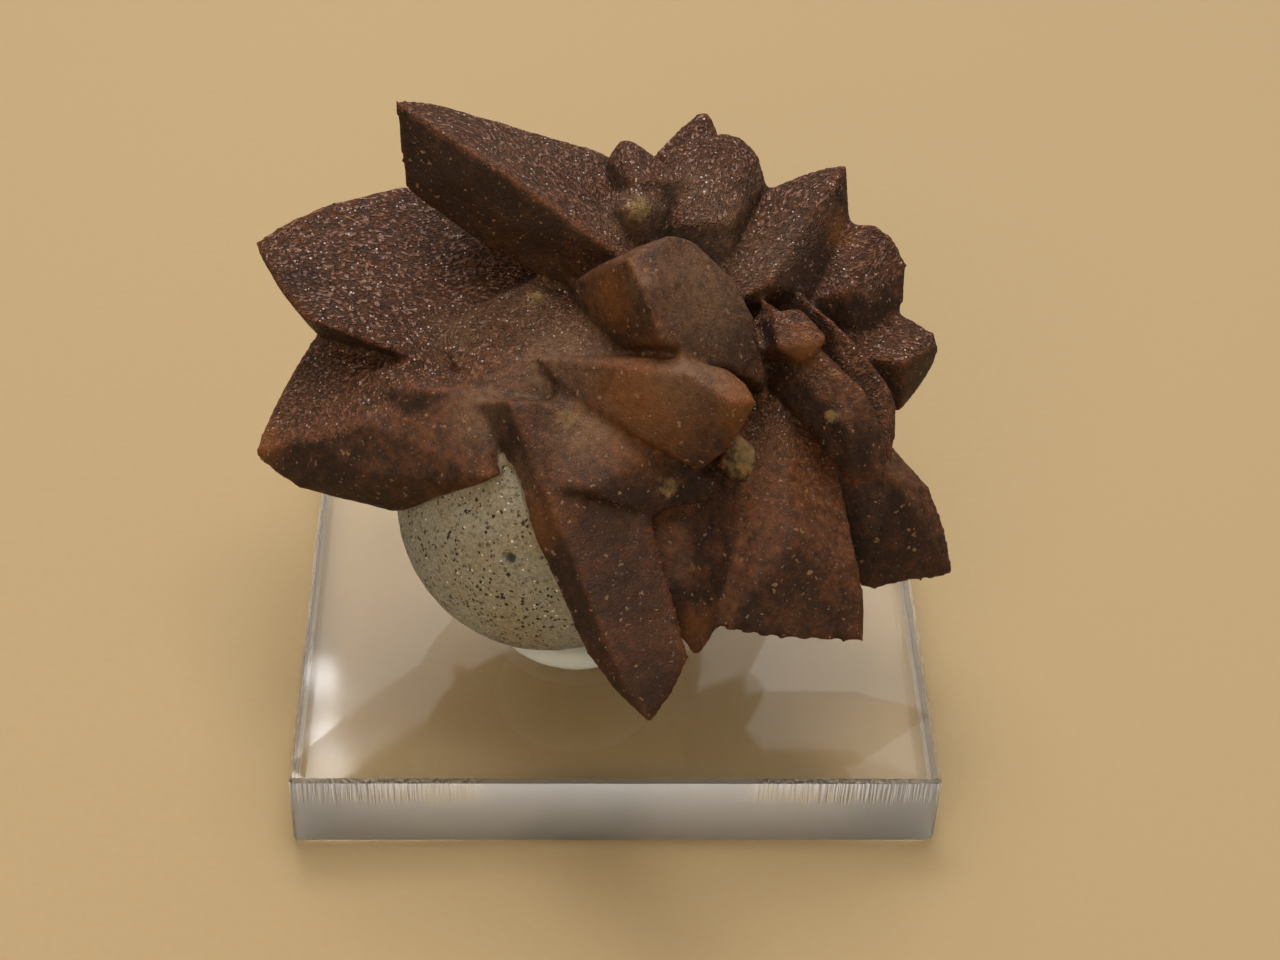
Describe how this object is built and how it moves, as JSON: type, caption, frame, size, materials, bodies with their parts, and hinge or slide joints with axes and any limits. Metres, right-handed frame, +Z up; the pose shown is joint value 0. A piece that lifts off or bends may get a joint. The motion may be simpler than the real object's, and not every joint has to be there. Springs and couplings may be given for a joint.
{
  "type": "glendonite specimen on a display block",
  "caption": "Rosette of brown glendonite blades grown out of a round sandstone nodule, held by putty on a clear square display block.",
  "frame": {"origin": "middle of the display block's underside", "axes": "+Z up, -Y towards the front of the block, which the rosette's open face leans towards, +X to the right"},
  "size_m": [0.077, 0.0764, 0.0664],
  "materials": {
    "clear_acrylic": "polished, clear, with fine saw marks on its sides",
    "white_putty": "matt, slightly translucent",
    "grey_sandstone": "fine sandy grain with dark specks",
    "brown_calcite": "wrinkled sugary grain with small glints, orange where thin"
  },
  "bodies": {
    "root": {"acrylic_base": "clear_acrylic", "mounting_putty": "white_putty", "concretion": "grey_sandstone", "crystal_cluster": "brown_calcite"}
  },
  "joints": []
}
